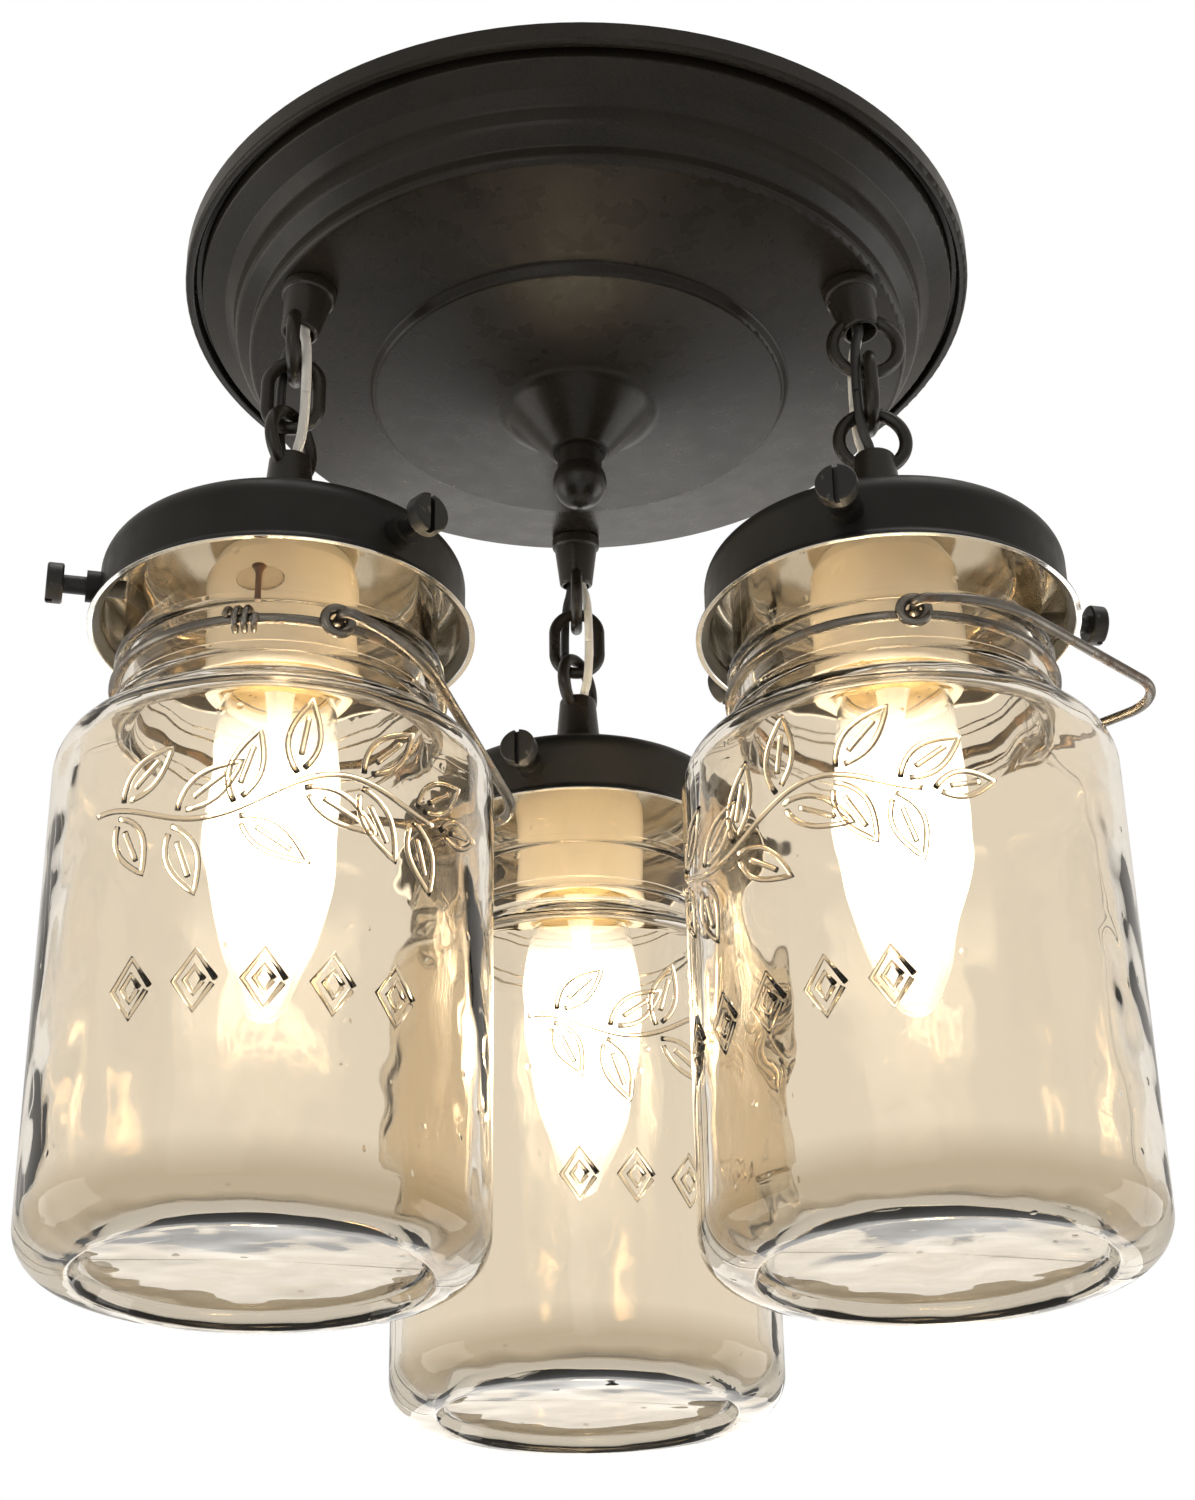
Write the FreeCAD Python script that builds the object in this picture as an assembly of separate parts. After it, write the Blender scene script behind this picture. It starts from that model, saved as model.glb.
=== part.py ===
import FreeCAD, Part
import math
import os

# Ceiling light with three glass jars on short chains under one round canopy.
# Millimetres. The origin is the centre of the ceiling plane, +Z is up and the light hangs below it.
# The back jar hangs at 90 degrees, the left one at 210 and the right one at 330.

# Canopy pan
canopy_radius = 101.5
rim_height = 5.5
rim_width = 2.4
groove_width = 2.0
groove_depth = 2.9
band_width = 6.0
band_drop = 3.3
cove_depth = 2.4
cove_height = 3.6
bulge_height = 4.6
dome_radius = 84.5
dome_edge_depth = 25.4
dome_slope = 10.0
disc_radius = 53.6
disc_step = 2.6
disc_dish = 3.6
boss_radius = 19.0
boss_tip_radius = 7.2
boss_height = 12.6
sheet = 1.0
band_step = 0.9
bulge_lean = 0.5
dome_band_height = 4.4
dome_band_lean = 0.4
disc_lean = 1.2
rim_round = 1.1
groove_round = 0.6
edge_round = 0.8
cove_round = 1.6
bulge_round = 2.2
dome_round = 1.8
disc_round = 1.2
boss_round = 5.0
boss_tip_round = 1.5

# Bar, stud and finial that hold the canopy
bar_end = 5.05
bar_width = 20.0
bar_thickness = 3.0
box_screw_spacing = 88.9
slot_length = 13.0
slot_width = 5.2
stud_radius = 3.175
stud_bite = 7.0
stud_nut_flats = 11.0
stud_nut_height = 4.0
finial_neck_radius = 5.6
finial_neck_height = 2.6
finial_ball_radius = 6.75
ground_screw_place = 24.0
ground_screw_radius = 2.1
ground_screw_head_radius = 4.0
ground_screw_head_height = 2.6

# Canopy loops
loop_edge_inset = 8.5
collar_radius = 6.6
collar_height = 3.6
cup_radius = 5.9
cup_mouth_wall = 0.8
cup_height = 10.8
stem_wall = 2.35
stem_thread = 3.6
loop_nut_flats = 13.0
loop_nut_height = 4.2
bore_flare = 0.95
bore_flare_depth = 5.0
stem_round = 0.5
collar_round = 1.0
cup_round = 0.8

# Chain
chain_wire = 3.2
ring_outer = 19.0
ring_sink = 4.5
link_width = 15.5
link_height = 22.0
link_gap = 0.3

# Holder loop and shade holder
cap_mouth_wall = 1.2
cap_waist_radius = 5.9
cap_foot_radius = 9.0
cap_height = 29.5
stem_reach = 4.4
holder_gap = 3.1
holder_height = 19.0
holder_lip = 2.3
holder_lip_height = 2.4
holder_shoulder = 6.0
holder_lip_edge = 0.5
holder_lip_round = 1.5
cap_waist_drop = 11.8
cap_waist_round = 12.0
cap_round = 0.8

# Thumbscrews
screw_radius = 2.1
screw_drop = 10.4
screw_boss_radius = 3.6
screw_boss_length = 3.0
screw_exposed = 5.0
screw_head_radius = 4.6
screw_head_height = 3.8
screw_slot_width = 1.2
screw_slot_depth = 1.6
screw_round = 0.6
screw_count = 3

# Jar
jar_body_radius = 48.0
jar_height = 165.5
jar_wall = 3.4
jar_neck_radius = 35.2
jar_neck_wall = 3.9
jar_lip = 2.0
jar_bead = 1.6
jar_bead_width = 2.4
jar_groove_depth = 33.3
jar_bead_spacing = 12.0
jar_neck_foot = 3.5
jar_shoulder_drop = 7.0
jar_shoulder_round = 9.0
jar_heel_round = 9.5
jar_heel = 11.5
jar_pushup = 4.5
jar_floor = 4.0
jar_foot_inset = 2.0
jar_foot_rise = 3.5
jar_lip_round = 1.4
jar_bead_round = 0.9
jar_groove_round = 0.5
jar_neck_round = 2.0
jar_inner_neck_round = 5.0
jar_inner_heel_round = 7.5
jar_inner_shoulder_round = 5.6
jar_foot_round = 1.2

# Neck wire and bail
bail_wire = 2.3
eyelet_hole_radius = 1.75
bail_pin_length = 3.2
bail_overhang = 10.0
bail_elbow = 17.0
bail_elbow_round = 30.0
bail_pin_round = 2.4
bail_tip_half_width = 4.7
eyelet_sink = 0.2

# Socket and bulb
socket_wall = 3.1
socket_height = 33.2
socket_gap = 0.85
socket_hub = 6.0
socket_top_inset = 1.5
socket_top_bevel = 4.0
socket_round = 1.4
socket_mouth_round = 0.8
shell_thickness = 0.4
shell_recess = 3.0
flange_hole = 7.6
ear_width = 2.6
contact_radius = 3.4
contact_thickness = 0.6
contact_drop = 1.0
base_radius = 13.05
base_height = 24.0
base_tip_radius = 4.5
base_tip_height = 1.4
base_cone_radius = 10.4
base_cone_height = 3.0
base_crown_height = 1.2
base_round = 0.6
bulb_radius = 15.0
bulb_length = 80.0
bulb_belly = 34.0
bulb_neck_radius = 11.9
bulb_wall = 0.9
bulb_shoulder_drop = 15.0
bulb_shoulder_radius = 14.0
bulb_taper_drop = 57.0
bulb_taper_radius = 11.6
bulb_tip_radius = 3.5
bulb_tip_height = 2.0
mount_radius = 2.2
mount_foot_radius = 4.0
mount_length = 22.0
filament_span = 12.0
filament_length = 24.0
filament_wire = 0.9
filament_neck = 7.0
filament_round = 4.8

# Wires and wire nuts
wire_diameter = 2.4
wire_gap = 0.5
wire_play = 0.25
wire_slant = 5.8
wire_rise = 11.0
wire_nut_radius = 6.5
wire_nut_tip_radius = 4.0
wire_nut_length = 20.0
wire_nut_spacing = 18.0
wire_nut_place = 50.0
wire_nut_bite = 10.0
wire_nut_round = 1.2
wire_nut_approach = 14.0
lead_spread = 3.6
back_lead_side = 14.0
back_lead_place = 20.0
hot_nut_depth = 9.5
neutral_nut_depth = 17.0
nut_side = {"hot": -0.5, "neutral": 0.5}

# Clearances
running = 0.05
wire_slack = 0.2
seat = 0.1
loose = 0.3
jar_top_gap = 0.8

# What differs from one pendant to the next, as angles in degrees about +Z seen from above:
# its place, the planes of its rings and link, its wires, its first thumbscrew, and its bail if it has one,
# with how far that hangs down.
PENDANTS = [
    {"name": "left", "place": 210, "ring": 90, "link": 0, "low_ring": 60, "hot": 135, "neutral": -45,
     "screw": 192, "bail": 24, "droop": 18},
    {"name": "right", "place": 330, "ring": 0, "link": 90, "low_ring": 0, "hot": -135, "neutral": 135,
     "screw": 12, "bail": 0, "droop": 0},
    {"name": "back", "place": 90, "ring": 90, "link": 0, "low_ring": 60, "hot": 135, "neutral": -45,
     "screw": 12, "bail": None, "droop": 0},
]

# Widths worked out from the sizes above
wire_radius = wire_diameter / 2
link_wire_radius = chain_wire / 2
wire_spread = (link_wire_radius + wire_radius + wire_gap) * math.sqrt(2)
bore_radius = wire_diameter + wire_slack / 2 + wire_play
bore_flare_radius = bore_radius + bore_flare
stem_radius = bore_radius + stem_wall
cup_end_radius = bore_flare_radius + cup_mouth_wall
cap_top_radius = bore_flare_radius + cap_mouth_wall
bar_length = box_screw_spacing + slot_length + 2 * bar_end
loop_seat_radius = dome_radius - loop_edge_inset
jar_neck_bore = jar_neck_radius - jar_neck_wall
jar_lip_radius = jar_neck_radius + jar_lip
jar_foot_radius = jar_body_radius - jar_heel
holder_radius = jar_lip_radius + holder_gap + sheet
bail_reach = jar_body_radius + bail_overhang
socket_bore = base_radius + socket_gap
socket_radius = socket_bore + socket_wall

# Heights worked out from the sizes above, from the ceiling down
nut_depth = {"hot": hot_nut_depth, "neutral": neutral_nut_depth}
slope = math.tan(math.radians(dome_slope))
tilt = math.radians(dome_slope)
disc_edge_z = -dome_edge_depth - (dome_radius - disc_radius) * slope
boss_base_z = disc_edge_z - disc_step - disc_dish
boss_tip_z = boss_base_z - boss_height
seat_z = -dome_edge_depth - (dome_radius - loop_seat_radius) * slope
ring_radius = ring_outer / 2 - link_wire_radius
loop_drop = collar_height + cup_height + seat
cup_end_z = seat_z - loop_drop * math.cos(tilt)
ring_z = cup_end_z - ring_sink
pitch_radius = loop_seat_radius + (seat_z - ring_z) * math.tan(tilt)
link_top_z = ring_z - ring_radius + chain_wire + link_gap
link_bottom_z = link_top_z - link_height + chain_wire
low_ring_z = link_bottom_z + chain_wire + link_gap - ring_radius
cap_top_z = low_ring_z - ring_sink
holder_z = cap_top_z - cap_height
holder_inside_z = holder_z - sheet
holder_rim_z = holder_z - holder_height
screw_z = holder_z - screw_drop
jar_mouth_z = holder_inside_z - jar_top_gap
jar_lip_z = screw_z + screw_radius + loose
jar_groove_z = jar_mouth_z - jar_groove_depth
jar_base_z = jar_mouth_z - jar_height
hub_z = holder_inside_z - socket_hub
contact_z = hub_z - contact_drop - contact_thickness
base_top_z = contact_z - running
base_bottom_z = base_top_z - base_height
bulb_tip_z = base_bottom_z - bulb_length


def vector(x, y, z):
    return FreeCAD.Vector(x, y, z)


def spoke(angle, radius, z):
    """Point at an angle in degrees and a radius about the Z axis."""
    turn = math.radians(angle)
    return vector(radius * math.cos(turn), radius * math.sin(turn), z)


def corner(before, point, after, radius):
    """Start, middle and end of the tangent arc that rounds a corner."""
    back = (before - point).normalize()
    ahead = (after - point).normalize()
    half = back.getAngle(ahead) / 2
    reach = radius / math.tan(half)
    inward = (back + ahead).normalize()
    middle = point + inward * (radius / math.sin(half) - radius)
    return point + back * reach, middle, point + ahead * reach


def rounded_edges(points, radii, closed):
    """Straight edges through the points, each corner rounded by its own radius where that isn't zero."""
    count = len(points)
    corners = []
    for index, point in enumerate(points):
        inner = closed or 0 < index < count - 1
        if inner and radii[index] > 0:
            corners.append(corner(points[index - 1], point, points[(index + 1) % count], radii[index]))
        else:
            corners.append((point, None, point))
    edges = []
    for index, (start, middle, end) in enumerate(corners):
        if middle is not None:
            edges.append(Part.Arc(start, middle, end).toShape())
        if closed or index < count - 1:
            following = corners[(index + 1) % count][0]
            if end.distanceToPoint(following) > 1e-6:
                edges.append(Part.LineSegment(end, following).toShape())
    return edges


def turned(outline):
    """Solid of revolution about Z of a closed outline of (radius, height, corner radius) points."""
    points = [vector(r, 0, z) for r, z, _ in outline]
    radii = [radius for _, _, radius in outline]
    face = Part.Face(Part.Wire(rounded_edges(points, radii, True)))
    return face.revolve(vector(0, 0, 0), vector(0, 0, 1), 360)


def inset(outline, wall):
    """The open outline moved to its right-hand side by the wall, with its roundings kept concentric."""
    moved = []
    for index, (r, z, radius) in enumerate(outline):
        before = outline[max(index - 1, 0)]
        after = outline[min(index + 1, len(outline) - 1)]
        first = vector(r - before[0], 0, z - before[1])
        second = vector(after[0] - r, 0, after[1] - z)
        if index == 0:
            first = second
        if index == len(outline) - 1:
            second = first
        first = first.normalize()
        second = second.normalize()
        side = vector(first.z + second.z, 0, -first.x - second.x).normalize()
        stretch = wall / max(side.dot(vector(first.z, 0, -first.x)), 0.2)
        bend = first.x * second.z - first.z * second.x
        inner_radius = radius + wall if bend > 0 else max(radius - wall, 0.2)
        moved.append((r + side.x * stretch, z + side.z * stretch, inner_radius if radius > 0 else 0))
    return moved


def rod(start, end, radius):
    """Cylinder from one point to another."""
    along = end - start
    return Part.makeCylinder(radius, along.Length, start, along)


def tube(points, radii, radius, label):
    """Round bar along straight runs and tangent arcs. Its radii and its volume's error are printed."""
    edges = rounded_edges(points, radii, False)
    path = Part.Wire(edges)
    first_run = points[1] - points[0]
    section = Part.Wire(Part.Circle(points[0], first_run, radius).toShape())
    solid = path.makePipeShell([section], True, False)
    expected = math.pi * radius ** 2 * path.Length
    bends = ", ".join(f"{value:.1f}" for value in radii[1:-1])
    error = solid.Volume / expected - 1
    print(f"{label}: radii {bends}; length {path.Length:.1f}; volume off by {error:.5f}")
    return solid


def bend_radii(points):
    """The largest usual radius at each point of a wire's route: 0.45 of the shorter run at its tangents."""
    radii = [0.0]
    for before, point, after in zip(points, points[1:], points[2:]):
        turn = (point - before).getAngle(after - point)
        shorter = min((point - before).Length, (after - point).Length)
        radii.append(0.45 * shorter / math.tan(turn / 2))
    return radii + [0.0]


def hexagon(flats, height, hole, top):
    """Hex nut about Z with its top face at the given height."""
    corners = [spoke(60 * step, flats / math.sqrt(3), top - height) for step in range(7)]
    body = Part.Face(Part.makePolygon(corners)).extrude(vector(0, 0, height))
    return body.cut(Part.makeCylinder(hole, height, vector(0, 0, top - height)))


def upright_ring(angle, z):
    """Ring of chain wire whose plane holds the vertical and the given direction."""
    return Part.makeTorus(ring_radius, link_wire_radius, vector(0, 0, z), spoke(angle + 90, 1, 0))


def loop_axis(place):
    """Direction of a canopy loop's stem, down and outward, square to the canopy's cone."""
    return spoke(place, math.sin(tilt), -math.cos(tilt))


def on_canopy(shape, place):
    """Moves a piece built hanging from the origin to a canopy loop's seat."""
    turn = FreeCAD.Rotation(vector(0, 0, -1), loop_axis(place))
    shape.Placement = FreeCAD.Placement(spoke(place, loop_seat_radius, seat_z), turn)
    return shape


def at_pendant(shape, place):
    """Moves a piece built on the Z axis to a pendant's axis."""
    return shape.translated(spoke(place, pitch_radius, 0))


def flared_bore(top, bottom, flare_at_top):
    """Wire way along Z, opened out at one end."""
    way = Part.makeCylinder(bore_radius, top - bottom, vector(0, 0, bottom))
    if flare_at_top:
        low = top - bore_flare_depth
        mouth = Part.makeCone(bore_radius, bore_flare_radius, bore_flare_depth, vector(0, 0, low))
    else:
        mouth = Part.makeCone(bore_flare_radius, bore_radius, bore_flare_depth, vector(0, 0, bottom))
    return way.fuse(mouth)


# Canopy

def canopy_pan():
    groove_outer = canopy_radius - rim_width
    groove_inner = groove_outer - groove_width
    band_top = rim_height + band_step
    band_edge = groove_inner - band_width
    cove = band_edge - cove_depth
    skin = [
        (groove_inner, -band_top, edge_round),
        (band_edge, -band_top - band_drop, edge_round),
        (cove, -band_top - band_drop - cove_height, cove_round),
        (cove - bulge_lean, -band_top - band_drop - cove_height - bulge_height, bulge_round),
        (dome_radius - dome_band_lean, -dome_edge_depth + dome_band_height, edge_round),
        (dome_radius, -dome_edge_depth, dome_round),
        (disc_radius, disc_edge_z, edge_round),
        (disc_radius - disc_lean, disc_edge_z - disc_step, disc_round),
        (boss_radius, boss_base_z, boss_round),
        (boss_tip_radius, boss_tip_z, boss_tip_round),
        (stud_radius + loose, boss_tip_z, 0),
    ]
    lining = inset(skin, sheet)
    rim = [
        (groove_inner - sheet, 0, 0),
        (canopy_radius, 0, 0),
        (canopy_radius, -rim_height, rim_round),
        (groove_outer, -rim_height, groove_round),
        (groove_outer, -rim_height + groove_depth, groove_round),
        (groove_inner, -rim_height + groove_depth, groove_round),
    ]
    lining[0] = (groove_inner - sheet, lining[1][1] + band_drop, 0)
    pan = turned(rim + skin + lining[::-1])
    for pendant in PENDANTS:
        hole = Part.makeCylinder(stem_radius + loose, 4 * sheet, vector(0, 0, -2 * sheet))
        pan = pan.cut(on_canopy(hole, pendant["place"]))
    return pan


def mounting_bar():
    plate = Part.makeBox(bar_length, bar_width, bar_thickness,
                         vector(-bar_length / 2, -bar_width / 2, -bar_thickness))
    upright = [edge for edge in plate.Edges if abs(edge.tangentAt(0).z) > 0.9]
    plate = plate.makeFillet(bar_width / 4, upright)
    cuts = [Part.makeCylinder(stud_radius + running, bar_thickness, vector(0, 0, -bar_thickness)),
            Part.makeCylinder(ground_screw_radius + running, bar_thickness,
                              vector(ground_screw_place, 0, -bar_thickness))]
    for side in (-1, 1):
        middle = side * box_screw_spacing / 2
        run = slot_length - slot_width
        cuts.append(Part.makeBox(run, slot_width, bar_thickness,
                                 vector(middle - run / 2, -slot_width / 2, -bar_thickness)))
        for end in (-run / 2, run / 2):
            cuts.append(Part.makeCylinder(slot_width / 2, bar_thickness,
                                          vector(middle + end, 0, -bar_thickness)))
    return plate.cut(cuts)


def center_stud():
    return Part.makeCylinder(stud_radius, stud_bite - boss_tip_z, vector(0, 0, boss_tip_z - stud_bite))


def finial():
    neck_z = boss_tip_z - finial_neck_height
    ball_z = neck_z - math.sqrt(finial_ball_radius ** 2 - finial_neck_radius ** 2 / 4)
    body = Part.makeCylinder(finial_neck_radius, boss_tip_z - ball_z, vector(0, 0, ball_z))
    body = body.fuse(Part.makeSphere(finial_ball_radius, vector(0, 0, ball_z))).removeSplitter()
    depth = stud_bite + loose
    return body.cut(Part.makeCylinder(stud_radius + running, depth, vector(0, 0, boss_tip_z - depth)))


def ground_screw():
    shank = Part.makeCylinder(ground_screw_radius, bar_thickness, vector(0, 0, -bar_thickness))
    head_z = -bar_thickness - ground_screw_head_height
    head = Part.makeCylinder(ground_screw_head_radius, ground_screw_head_height, vector(0, 0, head_z))
    screw = shank.fuse(head).removeSplitter()
    return screw.translated(vector(ground_screw_place, 0, 0))


def canopy_loop(pendant):
    place = pendant["place"]
    top = sheet + loop_nut_height + stem_thread
    body = turned([
        (0, top, 0),
        (stem_radius, top, stem_round),
        (stem_radius, -seat, 0),
        (collar_radius, -seat, stem_round),
        (collar_radius, -seat - collar_height, collar_round),
        (cup_radius, -seat - collar_height, 0),
        (cup_end_radius, -loop_drop, cup_round),
        (0, -loop_drop, 0),
    ])
    ring = at_pendant(upright_ring(pendant["ring"], ring_z), place)
    body = on_canopy(body, place).fuse(ring)
    return body.cut(on_canopy(flared_bore(top, -loop_drop, False), place)).removeSplitter()


def loop_nut(pendant):
    nut = hexagon(loop_nut_flats, loop_nut_height, stem_radius + running, sheet + seat + loop_nut_height)
    return on_canopy(nut, pendant["place"])


def wire_nut(kind):
    bundle = wire_diameter / math.sqrt(3) + wire_slack / 2 + wire_radius + wire_slack
    cap = turned([
        (bundle, 0, 0),
        (wire_nut_radius, 0, wire_nut_round),
        (wire_nut_tip_radius, -wire_nut_length, wire_nut_round),
        (0, -wire_nut_length, 0),
        (0, -wire_nut_bite - wire_slack, 0),
        (bundle, -wire_nut_bite - wire_slack, 0),
    ])
    cap.rotate(vector(0, 0, 0), vector(1, 0, 0), -90)
    return cap.translated(vector(nut_side[kind] * wire_nut_spacing, -wire_nut_place, -nut_depth[kind]))


# Chain and wires

def chain_link(pendant):
    half_width = link_width / 2 - link_wire_radius
    straight = link_height - link_width
    high = link_top_z - half_width
    low = high - straight
    pieces = []
    for z, side in ((high, 1), (low, -1)):
        circle = Part.Circle(vector(half_width, 0, z), vector(0, 0, 1), link_wire_radius)
        disc = Part.Face(Part.Wire(circle.toShape()))
        pieces.append(disc.revolve(vector(0, 0, z), vector(0, -side, 0), 180))
    for x in (-half_width, half_width):
        pieces.append(rod(vector(x, 0, low), vector(x, 0, high), link_wire_radius))
    link = pieces[0].fuse(pieces[1:]).removeSplitter()
    link.rotate(vector(0, 0, 0), vector(0, 0, 1), pendant["link"])
    return at_pendant(link, pendant["place"])


def wire(pendant, kind):
    """One conductor, from its wire nut through the canopy loop, beside the chain and down to the socket."""
    place = pendant["place"]
    axis = spoke(place, pitch_radius, 0)
    seat_point = spoke(place, loop_seat_radius, seat_z)
    down = loop_axis(place)
    other = "neutral" if kind == "hot" else "hot"
    aside = spoke(pendant[kind], wire_spread, 0)
    apart = (aside - spoke(pendant[other], wire_spread, 0)).normalize()
    beside = apart * (wire_radius + wire_slack / 2)
    stem_top = sheet + loop_nut_height + stem_thread
    above_stem = seat_point - down * (stem_top + wire_rise) + beside
    cup_end = seat_point + down * loop_drop + beside
    bundle = spoke(place, wire_diameter / math.sqrt(3) + wire_slack / 2, 0)
    nut_x = nut_side[kind] * wire_nut_spacing
    nut_z = -nut_depth[kind]
    in_nut = vector(nut_x + bundle.x, -wire_nut_place - wire_nut_bite, nut_z + bundle.y)
    approach = vector(in_nut.x, -wire_nut_place + wire_nut_approach + lead_spread * apart.y, in_nut.z)
    leads = [in_nut, approach]
    if place == 90:
        leads.append(vector(2 * nut_side[kind] * back_lead_side, back_lead_place, above_stem.z))
    terminal_z = hub_z + seat if kind == "neutral" else hub_z - contact_drop + seat
    points = leads + [
        above_stem,
        cup_end,
        axis + aside + vector(0, 0, cup_end.z - wire_slant),
        axis + aside + vector(0, 0, cap_top_z + wire_slant),
        axis + beside + vector(0, 0, cap_top_z),
        axis + beside + vector(0, 0, terminal_z),
    ]
    radii = bend_radii(points)
    over = len(leads)
    turn = (points[over] - points[over - 1]).getAngle(points[over + 1] - points[over])
    radii[over] = 0.9 * wire_rise / math.tan(turn / 2)
    return tube(points, radii, wire_radius, f"{kind}_wire_{pendant['name']}")


# Pendant

def holder_loop(pendant):
    foot_z = holder_inside_z - stem_reach
    body = turned([
        (0, cap_top_z, 0),
        (cap_top_radius, cap_top_z, cap_round),
        (cap_waist_radius, cap_top_z - cap_waist_drop, cap_waist_round),
        (cap_foot_radius, holder_z, 0),
        (stem_radius, holder_z, 0),
        (stem_radius, foot_z, stem_round),
        (0, foot_z, 0),
    ])
    body = body.fuse(upright_ring(pendant["low_ring"], low_ring_z))
    body = body.cut(flared_bore(cap_top_z, foot_z, True)).removeSplitter()
    return at_pendant(body, pendant["place"])


def screw_angles(pendant):
    return [pendant["screw"] + 360 * step / screw_count for step in range(screw_count)]


def shade_holder(pendant):
    wall_end = holder_rim_z + holder_lip_height
    cup = turned([
        (stem_radius + running, holder_z, 0),
        (holder_radius, holder_z, holder_shoulder),
        (holder_radius, wall_end, holder_lip_round),
        (holder_radius + holder_lip, holder_rim_z + holder_lip_edge, 0),
        (holder_radius + holder_lip, holder_rim_z, 0),
        (holder_radius + holder_lip - sheet, holder_rim_z, 0),
        (holder_radius - sheet, wall_end - holder_lip_edge, holder_lip_round + holder_lip_edge),
        (holder_radius - sheet, holder_inside_z, holder_shoulder - sheet),
        (stem_radius + running, holder_inside_z, 0),
    ])
    for angle in screw_angles(pendant):
        root = spoke(angle, holder_radius - sheet / 2, screw_z)
        end = spoke(angle, holder_radius + screw_boss_length, screw_z)
        cup = cup.fuse(rod(root, end, screw_boss_radius))
    for angle in screw_angles(pendant):
        inside = spoke(angle, holder_radius - 2 * sheet, screw_z)
        outside = spoke(angle, holder_radius + 2 * screw_boss_length, screw_z)
        cup = cup.cut(rod(inside, outside, screw_radius + running))
    return at_pendant(cup.removeSplitter(), pendant["place"])


def thumbscrew(pendant, angle):
    tip = jar_neck_radius + loose
    head = holder_radius + screw_boss_length + screw_exposed
    end = head + screw_head_height
    shank = rod(spoke(angle, tip, screw_z), spoke(angle, head, screw_z), screw_radius)
    knob = rod(spoke(angle, head, screw_z), spoke(angle, end, screw_z), screw_head_radius)
    knob = knob.makeFillet(screw_round, [edge for edge in knob.Edges if edge.Closed])
    slot_corner = vector(end - screw_slot_depth, -screw_slot_width / 2, screw_z - 2 * screw_head_radius)
    slot = Part.makeBox(2 * screw_slot_depth, screw_slot_width, 4 * screw_head_radius, slot_corner)
    slot.rotate(vector(0, 0, 0), vector(0, 0, 1), angle)
    return at_pendant(shank.fuse(knob).removeSplitter().cut(slot), pendant["place"])


def jar(pendant):
    upper = jar_groove_z + jar_bead_spacing / 2
    lower = jar_groove_z - jar_bead_spacing / 2
    bead = jar_neck_radius + jar_bead
    shoulder = lower - jar_bead_width / 2 - jar_neck_foot
    inner = jar_body_radius - jar_wall
    outline = [
        (jar_neck_bore, jar_mouth_z, jar_lip_round),
        (jar_lip_radius, jar_mouth_z, jar_lip_round),
        (jar_lip_radius, jar_lip_z, jar_lip_round),
        (jar_neck_radius, jar_lip_z, jar_groove_round),
    ]
    for z in (upper, lower):
        outline += [
            (jar_neck_radius, z + jar_bead_width / 2, jar_groove_round),
            (bead, z + jar_bead_width / 2, jar_bead_round),
            (bead, z - jar_bead_width / 2, jar_bead_round),
            (jar_neck_radius, z - jar_bead_width / 2, jar_groove_round),
        ]
    outline += [
        (jar_neck_radius, shoulder, jar_neck_round),
        (jar_body_radius, shoulder - jar_shoulder_drop, jar_shoulder_round),
        (jar_body_radius, jar_base_z, jar_heel_round),
        (jar_foot_radius, jar_base_z, jar_foot_round),
        (jar_foot_radius - jar_foot_inset, jar_base_z + jar_foot_rise, jar_foot_round),
        (0, jar_base_z + jar_pushup, 0),
        (0, jar_base_z + jar_pushup + jar_floor, 0),
        (inner, jar_base_z + jar_floor, jar_inner_heel_round),
        (inner, shoulder - jar_shoulder_drop - jar_wall / 2, jar_inner_shoulder_round),
        (jar_neck_bore, shoulder - jar_neck_wall / 2, jar_inner_neck_round),
    ]
    return at_pendant(turned(outline), pendant["place"])


def neck_wire(pendant):
    """Ring round the jar's neck with an eyelet on each side of the bail."""
    radius = bail_wire / 2
    ring_centre = jar_neck_radius + radius + seat
    eyelet_centre = ring_centre + bail_wire - eyelet_sink
    ring = Part.makeTorus(ring_centre, radius, vector(0, 0, jar_groove_z))
    for side in (-90, 90):
        angle = pendant["bail"] + side
        eyelet = Part.makeTorus(eyelet_hole_radius + radius, radius,
                                spoke(angle, eyelet_centre, jar_groove_z), spoke(angle, 1, 0))
        ring = ring.fuse(eyelet)
    return at_pendant(ring.removeSplitter(), pendant["place"])


def bail(pendant):
    """Wire lever whose turned-in ends sit in the two eyelets."""
    radius = bail_wire / 2
    inside = jar_neck_radius + bail_wire + seat + loose
    outside = inside + bail_pin_length + bail_wire
    lean = math.atan2(outside - bail_tip_half_width, bail_reach - bail_elbow)
    tip_round = bail_tip_half_width / math.tan((math.pi / 2 - lean) / 2)
    half = [
        (0, inside, 0),
        (0, outside, bail_pin_round),
        (bail_elbow, outside, bail_elbow_round),
        (bail_reach, bail_tip_half_width, 0.98 * tip_round),
    ]
    route = half + [(x, -y, bend) for x, y, bend in half[::-1]]
    points = [vector(x, y, jar_groove_z) for x, y, _ in route]
    lever = tube(points, [bend for _, _, bend in route], radius, f"bail_{pendant['name']}")
    lever.rotate(vector(0, 0, jar_groove_z), vector(0, 1, 0), pendant["droop"])
    lever.rotate(vector(0, 0, 0), vector(0, 0, 1), pendant["bail"])
    return at_pendant(lever, pendant["place"])


# Socket and bulb

def socket(pendant):
    low = holder_inside_z - socket_height
    body = turned([
        (stem_radius + running, holder_inside_z, 0),
        (socket_radius - socket_top_inset, holder_inside_z, socket_mouth_round),
        (socket_radius, holder_inside_z - socket_top_bevel, socket_round),
        (socket_radius, low, socket_round),
        (socket_bore, low, socket_mouth_round),
        (socket_bore, hub_z, 0),
        (stem_radius + running, hub_z, 0),
    ])
    return at_pendant(body, pendant["place"])


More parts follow.
